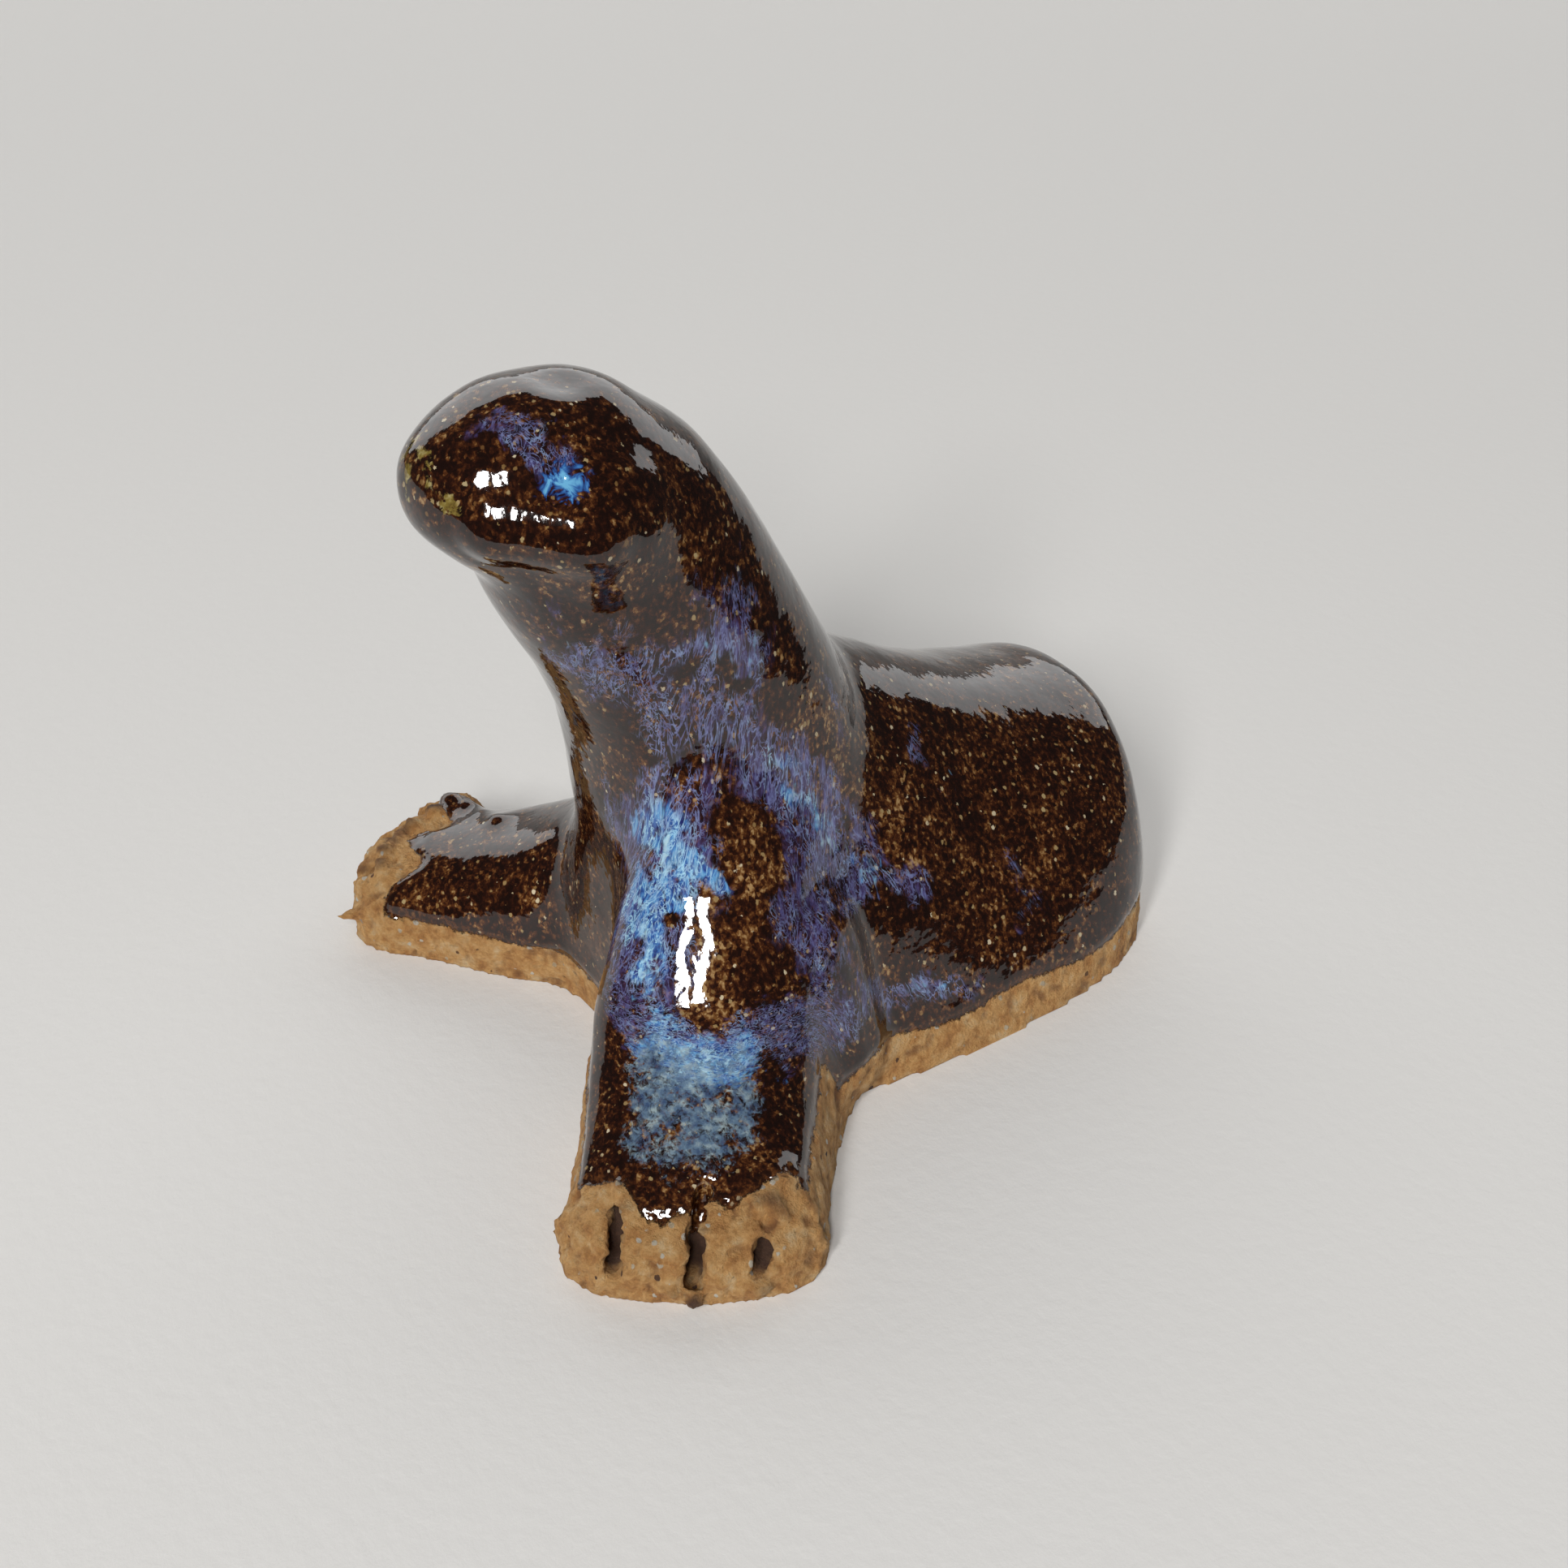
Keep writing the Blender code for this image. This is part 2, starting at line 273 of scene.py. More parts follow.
# Creases between the forms, filled by the thumb: (strength, centre, radius) in mm.
CREASES = (
    (0.5, (0, -12, 27), 10),
    (1.0, (14, -19, 12), 19),
    (1.0, (8, -27, 27), 15),
    (1.0, (-12, -26, 14), 14),
    (0.6, (7.5, -38.5, 48.5), 5),
)
creases = np.zeros(count)
for strength, centre, radius in CREASES:
    creases = np.maximum(creases, strength * ball(places, centre, radius))
places = fill(clay, places, links, creases * off_ground, 420)

# Small dents that are left under the jaw, on the neck's side and on the near foot are evened out.
on_foot = step(9, 13, near_along) * (1 - step(13, 17, places[:, 2]))
dents = np.maximum.reduce([ball(places, (8, -38, 47.5), 9), ball(places, (9.5, -24, 39), 9), on_foot])
places = relax(places, links, np.minimum(free, dents), 240)


def stroke(places, path, wide, soft):
    """1 within wide of a path, fading to 0 over soft, all in mm."""
    path = np.array(path, float)
    best = np.full(len(places), 1e9)
    if len(path) == 1:
        best = np.linalg.norm(places - path[0], axis=1)
    for start, end in zip(path, path[1:]):
        run = end - start
        part = np.clip((places - start) @ run / (run @ run), 0, 1)
        gap = np.linalg.norm(places - start - part[:, None] * run, axis=1)
        best = np.minimum(best, gap)
    return 1 - step(wide, wide + soft, best)


# Thumb work: (path, half width, soft edge, push in mm). Below 0 is pressed in.
THUMB_WORK = (
    (((5.5, -43, 51), (7, -40.5, 51), (8.5, -37.5, 50.5)), 0.4, 3.0, 1.0),
    (((10, -36.5, 50.5),), 0.8, 6.5, 1.7),
    (((1, -35, 58),), 0.3, 2.6, -0.3),
    (((10.5, -31.5, 27),), 1.0, 6.0, 0.8),
    (((15.5, -22.5, 14.5), (17, -22, 9), (18, -21.5, 4)), 0.8, 4.0, 1.2),
)
ways = face_ways(clay, places)
push = np.zeros(count)
for path, wide, soft, amount in THUMB_WORK:
    push += stroke(places, path, wide, soft) * amount
places = places + ways * (push * off_ground)[:, None]

ways = face_ways(clay, places)

# How far each point lies inside the bare clay, in mm: below 0 it is under the glaze, and GLAZED
# is well under it. Above FOOT_HEIGHT the feet are glazed all over.
RIM_HEIGHT = 3.7
FOOT_HEIGHT = 12
GLAZED = -9
# The glaze's edge on the near foot: (distance across it, distance along it) in mm.
NEAR_EDGE = (
    (-8.6, 29.2), (-7.6, 29.6), (-6, 30.2), (-4.6, 31.0), (-3.4, 32.6), (-2, 33.2), (-0.4, 32.2),
    (1.2, 31.4), (2.8, 31.9), (4.2, 30.6), (5.2, 29.6), (6.6, 28.6), (7.6, 28.9), (8.6, 28.4),
)
wander = rough(places, 9.0, 1) * 0.9 + rough(places, 1.6, 2) * 0.22
bare_rim = RIM_HEIGHT + 1.2 * ball(places, (17, -21, 2), 9) - places[:, 2] + wander
near_line = np.interp(near_across, *zip(*NEAR_EDGE))
bare_near = near_along - near_line + rough(places, 1.3, 7, 2) * 0.5
inner_line = near_across - 8.2 - 4 * (1 - step(14, 17.5, near_along))
side_line = np.where(near_across < 0, -8.5 - near_across, inner_line)
side_line -= 0.15 * np.abs(places[:, 2] - 4)
bare_sides = np.where(near_along > 13, side_line + wander * 0.4, GLAZED)
bare_near = np.where(places[:, 2] < FOOT_HEIGHT, np.maximum(bare_near, bare_sides), GLAZED)
far_line = 27.2 + 1.3 * np.sin(far_across * 1.1)
bare_far = np.where(places[:, 2] < FOOT_HEIGHT, far_along - far_line + wander * 0.5, GLAZED)
far_back = -far_across - 5.2 - 6 * (1 - step(15, 23, far_along)) + wander * 0.5
far_back = np.where(far_along > 12, far_back, GLAZED)
bare = np.maximum.reduce([bare_rim, bare_near, bare_far, far_back])
is_bare = step(-0.15, 0.25, bare)

# Torn clay stands in crumbs and pits, least on the wiped rim and down in the slits. The glaze
# lies over it as a thin skin with a rounded edge. Sizes in mm.
CRUMB = 0.38
PIT = 0.24
GLAZE_SKIN = 0.28
torn = np.zeros(count)
shown = (is_bare > 0) & (places[:, 2] > GROUND_SKIN)
shown_places = places[shown]
crumbs = rough(shown_places, 1.5, 3, 4)
pits = rough(shown_places, 0.75, 4, 2)
torn[shown] = CRUMB * crumbs + PIT * pits
torn_share = is_bare * (0.45 + 0.55 * np.maximum(toes, step(24, 27, far_along))) * (1 - 0.5 * in_slit)
thumbed = rough(places, 8.0, 5) * 0.16 + rough(places, 3.0, 6) * 0.05
lift = torn * torn_share + thumbed * (1 - is_bare) * off_ground
lift += GLAZE_SKIN * (step(0.0, 0.9, -bare) - 0.5) * off_ground * (1 - slit_zone)
places = places + ways * (lift * off_ground)[:, None]
places[:, 2] = np.maximum(places[:, 2], 0)

clay.vertices.foreach_set("co", (places * MM).ravel())
clay.update()
clay.shade_smooth()

# ---- Glaze
# A dark brown gloss glaze, broken to amber where it is thin, with a blue one poured over it
# that ran down the neck and chest in feathery violet and cyan flows and pooled on the foot.
DRIFT = 1.9
drift = np.stack([rough(places, 3.4, seed, 3) for seed in (11, 12, 13)], 1)
drifted = places + drift * DRIFT


def painted(strokes):
    """Strokes with drifting edges, laid over each other: (path, half width, soft edge, strength)."""
    bare_part = np.ones(count)
    for path, wide, soft, strength in strokes:
        bare_part *= 1 - strength * stroke(drifted, path, wide, soft)
    return 1 - bare_part


violet = painted((
    # thin veil down the neck and chest
    (((4, -38, 42), (8.5, -33, 40), (10, -28, 42)), 1.5, 4.5, 0.40),
    (((6, -36, 38), (9, -32, 36), (10.5, -27, 38)), 1.6, 3.0, 0.55),
    (((9, -31, 33), (10.5, -28, 31), (11, -30, 27)), 1.8, 3.5, 0.45),
    (((4, -34, 24), (7, -35.5, 20), (10.5, -37.5, 15.5)), 2.0, 3.0, 0.7),
    # the band round the bare oval on the neck, and what hangs from it
    (((3.5, -38, 39), (8, -34.5, 38), (9.5, -32, 40), (10, -29, 40.5), (9.5, -26, 42)), 0.3, 2.0, 0.5),
    (((10, -25.5, 40), (10.5, -26, 36), (11, -26, 33)), 0.2, 1.4, 0.6),
    (((10, -29, 33), (11.5, -26.5, 31), (12, -24.5, 28)), 0.8, 2.2, 0.6),
    # right-hand flow and what hangs below it
    (((11, -25, 30), (12, -22.5, 26), (12.5, -20.5, 22), (13, -18, 18)), 2.0, 2.2, 0.95),
    (((13, -18, 18), (14, -15.5, 16.5), (15, -12.5, 15)), 0.8, 2.4, 0.8),
    (((14, -25, 22), (15.5, -25.5, 18.5), (17, -25, 15)), 1.8, 2.6, 0.8),
    (((16, -21.5, 12.5), (17, -22, 10)), 1.2, 2.4, 0.7),
    # chest, leg and the pool above the foot
    (((9, -32.5, 27), (10, -33.5, 22), (12, -36, 18), (14.5, -38, 14.5)), 2.4, 2.4, 0.9),
    (((15.5, -39, 13.5), (18.5, -36.5, 13), (20.5, -33, 13), (20, -28, 11.5), (18, -22, 8)), 1.2, 2.2, 0.8),
    # low on the flank, on the rump, behind the neck and on the head
    (((17, -20, 8), (17, -15, 7), (17.5, -12, 6), (18, -10, 5.5)), 0.5, 1.8, 0.8),
    (((16, -3.5, 14), (17, -2.5, 12), (17.5, -2, 10)), 0.8, 2.2, 0.6),
    (((8.5, -18, 33), (9, -17.5, 31), (10.5, -17, 28.5)), 0.3, 1.5, 0.6),
    (((5.5, -9.5, 24.5), (7.5, -9, 23.5), (9, -9, 21.5)), 0.3, 1.8, 0.45),
    (((3.5, -40, 57), (4.5, -40, 56), (6, -39, 55)), 0.8, 1.9, 0.9),
    # the far side, which ran in the same way
    (((-4, -38, 40), (-9, -33, 38), (-10, -28, 36), (-10, -24, 40)), 1.0, 3.0, 0.6),
    (((-9, -31, 34), (-10, -29, 29), (-12, -27, 25), (-14, -24, 21)), 1.5, 3.0, 0.8),
    (((-12, -14, 20), (-16, -10, 12), (-18, -8, 7)), 0.8, 2.5, 0.7),
    (((-6, 6, 19), (-11, 8, 15), (-13, 10, 9)), 0.8, 2.5, 0.6),
    (((2, 14, 15), (3, 15, 10)), 0.6, 2.2, 0.5),
))
cyan = painted((
    (((8.5, -32.5, 25), (10, -33, 23), (10.5, -34, 21)), 1.3, 2.0, 1.0),
    (((9.5, -35, 20), (11, -36.5, 17.5), (13, -37.5, 15)), 0.8, 1.5, 1.0),
    (((10.5, -33, 23), (11.5, -32.5, 22.5), (12.5, -32.5, 20.5)), 0.4, 1.4, 0.9),
    (((11, -25, 29.5), (11.5, -22.5, 26), (12, -21.5, 23), (12.5, -20.5, 20.5)), 0.3, 1.3, 0.85),
    (((12.5, -20.5, 20.5), (13, -17.5, 17.5), (14, -15.5, 16.5)), 0.0, 1.2, 0.85),
    (((17, -38.5, 12.5), (19.5, -36.5, 12), (20.5, -34.5, 12)), 0.8, 2.6, 1.0),
    (((17, -15, 6.5), (17.5, -12.5, 6)), 0.0, 1.2, 0.7),
    (((16.5, -2.5, 12), (17, -2, 10.5)), 0.0, 1.3, 0.45),
    (((9.5, -26, 39), (10.5, -25.5, 35.5)), 0.0, 0.8, 0.4),
    (((-9.5, -30, 31), (-11, -28, 27)), 0.5, 1.6, 0.9),
))
eyes = np.maximum(ball(places, (7, -38.5, 53.5), 3.0), ball(places, (-7, -38.5, 53.5), 3.0))
frost = painted((
    (((18.5, -39.5, 11), (21, -37, 11)), 1.5, 3.6, 0.85),
    (((20.5, -41, 9.5), (23, -38.5, 9.5)), 1.2, 3.6, 0.8),
    (((23, -42, 8), (25, -39, 8)), 0.6, 3.0, 0.5),
))
amber = painted((
    (((11, -20, 29), (12, -18, 26), (13, -16, 24), (14, -13, 20)), 1.5, 5.0, 0.9),
    (((12.5, -28.5, 26), (13, -28, 24), (13.5, -28, 21.5)), 1.0, 2.2, 1.2),
    (((15, -32.5, 19), (16, -33, 16), (17, -34, 14.5)), 1.0, 2.2, 1.3),
    (((9.5, -30.5, 38),), 0.4, 1.2, 0.9),
    (((16, -20, 12.5), (16.5, -18.5, 11)), 0.6, 2.0, 0.8),
    (((7.5, -36, 47), (9, -33, 47), (9.5, -30.5, 46)), 1.5, 4.0, 0.55),
    (((14, 0, 15), (15.5, -6, 13)), 1.0, 6.0, 0.35),
    (((24.5, -43.5, 7), (27, -40, 7), (27, -36.5, 7.5)), 0.5, 2.2, 0.5),
    (((-21, -40, 4.5), (-12, -32, 6)), 1.5, 3.0, 1.0),
))
snout = painted((
    (((0.5, -46, 54), (2, -46, 53.5), (3.5, -45, 53)), 0.3, 1.1, 0.9),
    (((-1.5, -45.5, 55), (-0.5, -46, 54.5)), 0.4, 1.6, 0.5),
))
dark = painted((
    (((9.5, -30.5, 38),), 0.8, 0.7, 1.0),
    (((12, -34.5, 20), (12.5, -35, 17.5)), 0.6, 0.7, 1.0),
    (((12.5, -28.5, 26), (13, -28, 24), (13.5, -28, 21.5)), 0.8, 1.3, 0.95),
    (((15, -32.5, 19), (16, -33, 16), (17, -34, 14.5)), 0.9, 1.5, 0.9),
    (((7, -34.5, 34), (8.5, -33, 31.5)), 0.6, 1.0, 0.9),
    (((10, -27.5, 38.5), (10.5, -27, 36)), 0.4, 0.8, 0.9),
    (((12.5, 1.5, 17.5),), 0.6, 0.4, 1.0),
))
violet = violet * (1 - 0.95 * dark)
cyan = cyan * (1 - 0.95 * dark)

# The blue glaze drew out into fine curling hairs. Each row says where a lock of them runs:
# (path, half width of the lock, how many hairs, curl in mm, paleness, strength).
LOCKS = (
    (((4, -38, 40), (6.5, -35.5, 38.5), (8.5, -33.5, 39.5), (9.5, -32, 40.5)), 1.5, 34, 0.7, 0.55, 0.9),
    (((5, -37, 38.5), (7.5, -35, 36.5), (9, -33, 36)), 1.3, 18, 0.7, 0.45, 0.8),
    (((8.5, -33, 38), (9, -32, 39.5), (10, -30.5, 40), (10, -29, 39), (10.5, -29, 37)),
     0.5, 16, 0.25, 0.6, 0.9),
    (((9, -28.5, 44.5), (9.5, -28, 42.5), (10, -28.5, 40)), 1.6, 24, 0.5, 0.45, 0.8),
    (((9, -26, 45), (9.5, -25.5, 42), (10, -25.5, 39.5)), 1.1, 16, 0.4, 0.40, 0.7),
    (((9.5, -26, 41), (10, -25.5, 38.5), (10.5, -26, 36), (11, -26, 33.5)), 0.5, 16, 0.25, 0.55, 0.95),
    (((8.5, -32.5, 37), (10, -31, 34.5), (11, -28.5, 32.5), (11, -26.5, 31)), 1.4, 34, 0.8, 0.40, 0.75),
    (((7.5, -33.5, 33.5), (8.5, -33, 31.5), (9.5, -32.5, 29.5)), 0.7, 14, 0.4, 0.75, 0.9),
    (((9.5, -32, 31.5), (10, -31.5, 29), (10.5, -32, 26.5)), 0.9, 18, 0.4, 0.50, 0.8),
    (((10.5, -29, 34), (11.5, -26.5, 31.5), (12, -24.5, 29)), 0.9, 20, 0.5, 0.45, 0.8),
    # right-hand flow
    (((11, -25, 30.5), (12, -23.5, 28), (13, -21.5, 25), (14, -19.5, 21.5)), 1.9, 60, 0.6, 0.45, 0.95),
    (((11.5, -24, 28.5), (13, -22, 25.5), (13.5, -20, 22.5), (14.5, -18.5, 19)), 0.7, 34, 0.4, 0.85, 1.0),
    (((14.5, -18.5, 19), (15, -16.5, 17.5), (15.5, -15, 16.5)), 0.7, 22, 0.5, 0.8, 0.95),
    (((14.5, -17, 17.5), (15.5, -14.5, 16.5), (16, -12, 16)), 1.2, 22, 0.6, 0.35, 0.8),
    (((13.5, -22.5, 22.5), (14.5, -22.5, 19.5), (16, -23, 16.5), (17, -24, 13.5)), 1.5, 44, 0.5, 0.35, 0.8),
    (((14, -20.5, 20.5), (15, -20, 18), (16, -20, 15)), 1.0, 20, 0.5, 0.5, 0.8),
    # chest, leg and the pool above the foot
    (((6.5, -34, 26), (8.5, -33.5, 26.5), (10, -32.5, 26.5)), 1.1, 20, 0.6, 0.6, 0.8),
    (((6, -35, 24), (7.5, -35.5, 20.5), (9.5, -37, 17), (12, -38.5, 14)), 1.9, 60, 0.6, 0.35, 0.85),
    (((10.5, -32.5, 26.5), (10, -34, 23.5), (10, -35.5, 21), (11.5, -36.5, 18.5)), 1.4, 56, 0.5, 0.85, 1.0),
    (((10.5, -35, 21), (11.5, -36.5, 18.5), (13, -37.5, 16), (14, -38.5, 14)), 0.8, 44, 0.3, 0.95, 1.0),
    (((11, -33, 24.5), (12.5, -32.5, 22), (14, -32.5, 20), (14.5, -33, 18)), 0.8, 34, 0.4, 0.7, 0.95),
    (((12.5, -34, 20), (13, -35.5, 17.5), (14.5, -36.5, 15.5)), 0.5, 14, 0.3, 0.4, 0.8),
    (((15.5, -39, 13.5), (18, -37.5, 13), (20, -34.5, 13), (21, -31.5, 12.5)), 1.2, 50, 0.7, 0.45, 0.9),
    (((17.5, -39.5, 11.5), (19.5, -37.5, 11.5), (21, -34.5, 11.5), (21.5, -32.5, 11.5)),
     1.2, 60, 0.8, 0.9, 0.95),
    (((21, -32, 12.5), (20, -28.5, 11.5), (19, -25, 9.5), (18, -21.5, 8)), 1.3, 44, 0.7, 0.45, 0.85),
    (((18, -24.5, 13), (19, -26, 11.5), (20, -28, 10.5)), 1.2, 26, 0.6, 0.4, 0.75),
    # flank, rump, back and head
    (((17, -20.5, 8), (17, -17.5, 7.5), (17, -14.5, 7), (18, -10, 5.5)), 0.9, 24, 0.6, 0.6, 0.9),
    (((15, -4.5, 15), (16, -3, 13), (17, -2, 11), (17.5, -1.5, 9)), 0.9, 22, 0.4, 0.5, 0.75),
    (((8.5, -18.5, 33.5), (9, -18, 32), (10, -17, 29.5)), 0.6, 16, 0.4, 0.5, 0.8),
    (((5.5, -9.5, 24.5), (7.5, -9, 23.5), (9, -9, 21.5)), 0.8, 16, 0.5, 0.4, 0.7),
    (((10, -7.5, 21), (11, -7, 19.5)), 0.9, 8, 0.4, 0.5, 0.6),
    (((3, -40, 57), (4.5, -40, 56), (6, -39.5, 55)), 1.0, 26, 0.6, 0.35, 0.85),
    (((4, -38.5, 57), (5, -38, 56.5)), 0.7, 8, 0.5, 0.5, 0.6),
    # the far side
    (((-4, -38, 40), (-8, -34, 38), (-10, -29, 37)), 1.6, 36, 0.7, 0.5, 0.8),
    (((-9, -32, 35), (-10.5, -29, 29), (-12, -27, 24), (-13.5, -25, 19)), 1.8, 60, 0.6, 0.7, 0.9),
    (((-10, -14, 23), (-14, -11, 15), (-17, -9, 8)), 1.2, 36, 0.5, 0.5, 0.8),
    (((-5, 6, 20), (-10, 8, 16), (-13, 9.5, 9)), 1.2, 30, 0.5, 0.45, 0.8),
)
HAIR_HALF = 0.52
HAIR_STEP = 0.22
spots = kdtree.KDTree(count)
for i, place in enumerate(places):
    spots.insert(place, i)
spots.balance()
hair_ways = face_ways(clay, places)
chance = np.random.default_rng(42)
hair = np.zeros(count)
hair_pale = np.zeros(count)


def point_along(path, reach, part):
    """The place at a share of a path's length. Reach is how far along it each of its points is."""
    return np.array([np.interp(part * reach[-1], reach, path[:, axis]) for axis in range(3)])


def lay_hair(path, start, end, aside, curl, turn, pale, strength):
    """Draws one hair on the surface, from start to end of its path, thin at both ends."""
    steps = np.linalg.norm(np.diff(path, axis=0), axis=1)
    reach = np.concatenate([[0], np.cumsum(steps)])
    many = max(int((end - start) * reach[-1] / HAIR_STEP), 3)
    for k in range(many + 1):
        part = start + (end - start) * k / many
        spot = point_along(path, reach, part)
        ahead = point_along(path, reach, part + 0.02)
        behind = point_along(path, reach, part - 0.02)
        _, near, _ = spots.find(spot)
        across = np.cross(hair_ways[near], ahead - behind)
        across /= np.linalg.norm(across) + 1e-9
        sway = noise.noise(Vector((part * reach[-1] * 0.45, turn, 3.7)))
        sway += 0.5 * noise.noise(Vector((part * reach[-1] * 1.2, turn, 9.1)))
        spot = spot + across * (aside + curl * 1.6 * sway)
        thick = math.sin(math.pi * min(max(k / many, 0.04), 0.96)) ** 0.5
        _, near, _ = spots.find(spot)
        middle = places[near] * 0.85 + spot * 0.15
        for _, i, gap in spots.find_range(middle, HAIR_HALF * (0.55 + 0.45 * thick)):
            cover = strength * thick * (1 - (gap / HAIR_HALF) ** 2)
            if cover > hair[i]:
                hair[i] = cover
                hair_pale[i] = pale


for path, wide, many, curl, pale, strength in LOCKS:
    path = np.array(path, float)
    for _ in range(many):
        length = chance.uniform(0.22, 0.6)
        start = chance.uniform(-0.06, 1.04 - length)
        aside = np.clip(chance.normal(0, 0.55), -1.3, 1.3) * wide
        tone = np.clip(pale + chance.normal(0, 0.16), 0, 1)
        lay_hair(path, start, start + length, aside, curl, chance.uniform(0, 90), tone,
                 strength * chance.uniform(0.45, 1.0))
hair *= 1 - 0.9 * dark


def drawn_out(centre, way, share):
    """Places squeezed along one direction, so that a pattern made in them is long that way."""
    way = np.array(way) / np.linalg.norm(way)
    from_centre = places - np.array(centre)
    return places - (from_centre @ way)[:, None] * way * (1 - share)


# The way that the flows run: straight down the neck and chest, aslant on the flank, and in
# short flecks on the foot. Patterns are laid out in these drawn-out places, in mm.
DOWN_NECK = (0, 0.1, 1)
DOWN_FLANK = (0.3, 0.3, -0.9)
flank_part = step(-24, -17, places[:, 1])[:, None]
foot_part = (step(12, 18, near_along) * (1 - step(9, 15, places[:, 2])))[:, None]
flow = drawn_out((10, -28, 28), DOWN_NECK, 0.30) * (1 - flank_part)
flow += drawn_out((15, -20, 20), DOWN_FLANK, 0.40) * flank_part
flow = flow * (1 - foot_part) + places * foot_part


def keep_on(mesh, name, values):
    """Stores one number or one place for each point, for the material to read."""
    kind = "FLOAT" if values.ndim == 1 else "FLOAT_VECTOR"
    field = "value" if values.ndim == 1 else "vector"
    layer = mesh.attributes.new(name, kind, "POINT")
    layer.data.foreach_set(field, values.astype(np.float32).ravel())


for name, values in (("bare", bare), ("torn", torn), ("violet", violet), ("cyan", cyan),
                     ("frost", frost), ("amber", amber), ("hair", hair), ("hair_pale", hair_pale),
                     ("eyes", eyes), ("snout", snout), ("slit", in_slit), ("flow", flow)):
    keep_on(clay, name, values)


def put(tree, kind, feeds, **settings):
    """A node with its settings. Its sockets take a value or another node's output."""
    made = tree.nodes.new(kind)
    for name, value in settings.items():
        setattr(made, name, value)
    for socket, source in feeds.items():
        if isinstance(source, bpy.types.NodeSocket):
            tree.links.new(source, made.inputs[socket])
        else:
            made.inputs[socket].default_value = source
    return made


GLAZE_ROUGH = 0.05
CLAY_ROUGH = 0.82
GLAZE_IOR = 1.6
glaze = bpy.data.materials.new("brown_and_blue_glaze")
glaze.use_nodes = True
tree = glaze.node_tree
shader = tree.nodes["Principled BSDF"]


def read(name):
    """What keep_on stored under this name."""
    found = put(tree, "ShaderNodeAttribute", {}, attribute_name=name)
    return found.outputs["Vector" if name == "flow" else "Fac"]


def cloud(where, scale, detail=3, rough_share=0.6, bend=0.0):
    """A cloudy pattern from 0 to 1."""
    feeds = {"Vector": where, "Scale": scale, "Detail": detail}
    feeds.update({"Roughness": rough_share, "Distortion": bend})
    return put(tree, "ShaderNodeTexNoise", feeds).outputs["Fac"]


def ease(value, low, high, to_low=0.0, to_high=1.0):
    """Goes from to_low to to_high, eased, while the value goes from low to high."""
    feeds = {"Value": value, "From Min": low, "From Max": high, "To Min": to_low, "To Max": to_high}
    return put(tree, "ShaderNodeMapRange", feeds, interpolation_type="SMOOTHSTEP").outputs["Result"]


def worked_out(operation, a, b=0.0):
    """The result of one Math node."""
    return put(tree, "ShaderNodeMath", {0: a, 1: b}, operation=operation).outputs[0]


def sum_of(a, b):
    return worked_out("ADD", a, b)


def difference(a, b):
    return worked_out("SUBTRACT", a, b)


def product(a, b):
    return worked_out("MULTIPLY", a, b)


def swing(pattern, amount):
    """A pattern's swing about its middle, made this many times as strong."""
    return product(difference(pattern, 0.5), amount)


def grains(where, scale):
    """Scattered grains: the distance to the nearest one, and two chance values that it has."""
    cells = put(tree, "ShaderNodeTexVoronoi", {"Vector": where, "Scale": scale}, feature="F1")
    pick = put(tree, "ShaderNodeSeparateColor", {"Color": cells.outputs["Color"]})
    return cells.outputs["Distance"], pick.outputs["Red"], pick.outputs["Green"]


def blend(share, below, above):
    """One colour over another, by this share."""
    return put(tree, "ShaderNodeMix", {0: share, 6: below, 7: above}, data_type="RGBA").outputs[2]


def between(share, below, above):
    """A value between two others, by this share."""
    return put(tree, "ShaderNodeMix", {0: share, 2: below, 3: above}, data_type="FLOAT").outputs[0]


def shades(value, stops):
    """Colours along a value: each stop is a place from 0 to 1 and a colour."""
    made = put(tree, "ShaderNodeValToRGB", {"Fac": value})
    ramp = made.color_ramp
    while len(ramp.elements) < len(stops):
        ramp.elements.new(0.5)
    for element, (place, colour) in zip(ramp.elements, stops):
        element.position = place
        element.color = (*colour, 1)
    return made.outputs["Color"]


inside = put(tree, "ShaderNodeTexCoord", {}).outputs["Object"]
here = put(tree, "ShaderNodeVectorMath", {0: inside, "Scale": 1 / MM}, operation="SCALE").outputs[0]
run = read("flow")

# brown ground: fine mottling, gathered in warmer and darker patches
mild = put(tree, "ShaderNodeMix", {0: 0.3, 4: here, 5: run}, data_type="VECTOR").outputs[1]
fine_mottle = cloud(mild, 2.1, 3, 0.62)
patches = cloud(mild, 0.4, 4, 0.62)
_, granule, _ = grains(mild, 3.1)
warm = sum_of(fine_mottle, swing(patches, 0.6))
warm = sum_of(warm, swing(granule, 0.25))
warm = sum_of(warm, product(read("amber"), 0.11))
brown = shades(ease(warm, 0.30, 0.90), (
    (0.0, (0.008, 0.0025, 0.0015)),
    (0.26, (0.018, 0.0045, 0.002)),
    (0.46, (0.036, 0.0095, 0.003)),
    (0.64, (0.070, 0.022, 0.006)),
    (0.82, (0.14, 0.058, 0.016)),
    (1.0, (0.34, 0.21, 0.09)),
))
